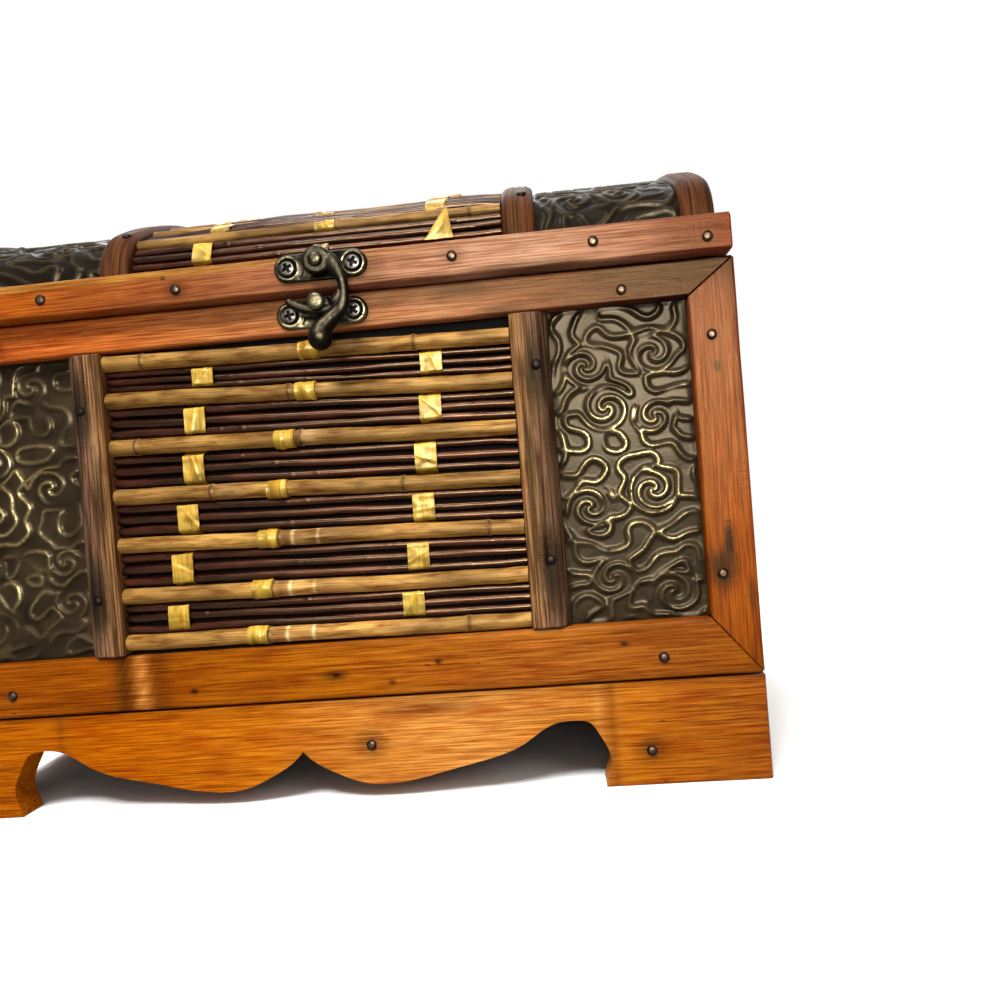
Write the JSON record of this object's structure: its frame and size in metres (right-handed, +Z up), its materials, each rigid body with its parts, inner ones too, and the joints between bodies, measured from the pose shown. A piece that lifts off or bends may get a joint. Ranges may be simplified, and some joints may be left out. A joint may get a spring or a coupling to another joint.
{
  "type": "ditty box",
  "caption": "Small domed ditty box: wood frame, cane mat and embossed leather panels, scalloped base, hinged lid with a swing-hook latch.",
  "frame": {"origin": "middle of the overall box at the level of the feet", "axes": "+X to the right along the front, +Y from the latch side to the hinge side, +Z up"},
  "size_m": [0.252, 0.1682, 0.193],
  "materials": {
    "embossed_leather": "embossed leather look with rubbed brassy ridges, satin",
    "plywood": "thin board, dark stained, matt",
    "amber_wood": "fir strip stained amber, satin varnish",
    "stained_wood": "fir strip stained reddish brown, satin varnish",
    "scorched_wood": "scorched bamboo strip, satin",
    "cane": "tan cane, semi-gloss",
    "twig": "dark red-brown peeled twig, semi-gloss",
    "straw": "flat gold straw strip, semi-gloss",
    "bronze_nails": "domed nail heads, dark bronze",
    "antique_brass": "cast, antique bronze finish, worn on the high spots",
    "hinge_brass": "pressed sheet, dull brass",
    "screw_steel": "plated cross-head screws, dull"
  },
  "bodies": {
    "box": {"floor_panel": "plywood", "front_wall_board": "plywood", "back_wall_board": "plywood", "left_wall_board": "plywood", "right_wall_board": "plywood", "front_skirt": "amber_wood", "back_skirt": "amber_wood", "left_skirt": "amber_wood", "right_skirt": "amber_wood", "front_top_rail": "stained_wood", "front_bottom_rail": "amber_wood", "front_stiles": "stained_wood", "back_top_rail": "stained_wood", "back_bottom_rail": "amber_wood", "back_stiles": "stained_wood", "left_top_rail": "stained_wood", "left_bottom_rail": "amber_wood", "left_stiles": "stained_wood", "right_top_rail": "stained_wood", "right_bottom_rail": "amber_wood", "right_stiles": "stained_wood", "front_left_leather": "embossed_leather", "front_right_leather": "embossed_leather", "back_leather": "embossed_leather", "left_leather": "embossed_leather", "right_leather": "embossed_leather", "front_battens": "scorched_wood", "front_canes": "cane", "front_twigs": "twig", "front_ties": "straw", "body_nails": "bronze_nails", "keeper_plate": "antique_brass", "keeper_screws": "screw_steel", "latch_post": "antique_brass", "body_hinge_leaves": "hinge_brass", "body_hinge_screws": "screw_steel", "hinge_pins": "hinge_brass"},
    "lid": {"lid_front_rail": "stained_wood", "lid_back_rail": "stained_wood", "lid_side_rails": "stained_wood", "lid_top_board": "plywood", "lid_end_boards": "plywood", "lid_end_leathers": "embossed_leather", "lid_left_end_strap": "scorched_wood", "lid_left_inner_strap": "scorched_wood", "lid_right_inner_strap": "scorched_wood", "lid_right_end_strap": "scorched_wood", "lid_leathers": "embossed_leather", "lid_canes": "cane", "lid_twigs": "twig", "lid_ties": "straw", "lid_nails": "bronze_nails", "upper_latch_plate": "antique_brass", "upper_latch_screws": "screw_steel", "hook_rivet": "antique_brass", "lid_hinge_leaves": "hinge_brass", "lid_hinge_screws": "screw_steel"},
    "hook": {"hook": "antique_brass"}
  },
  "joints": [
    {"name": "lid_hinge", "type": "hinge", "parent": "box", "child": "lid", "pos_m": [0, 0.0822, 0.14875], "axis": [-1, 0, 0], "range_deg": [0, 100]},
    {"name": "hook_swing", "type": "hinge", "parent": "lid", "child": "hook", "pos_m": [0.0089, -0.0785, 0.1564], "axis": [0, -1, 0], "range_deg": [0, 110]}
  ]
}
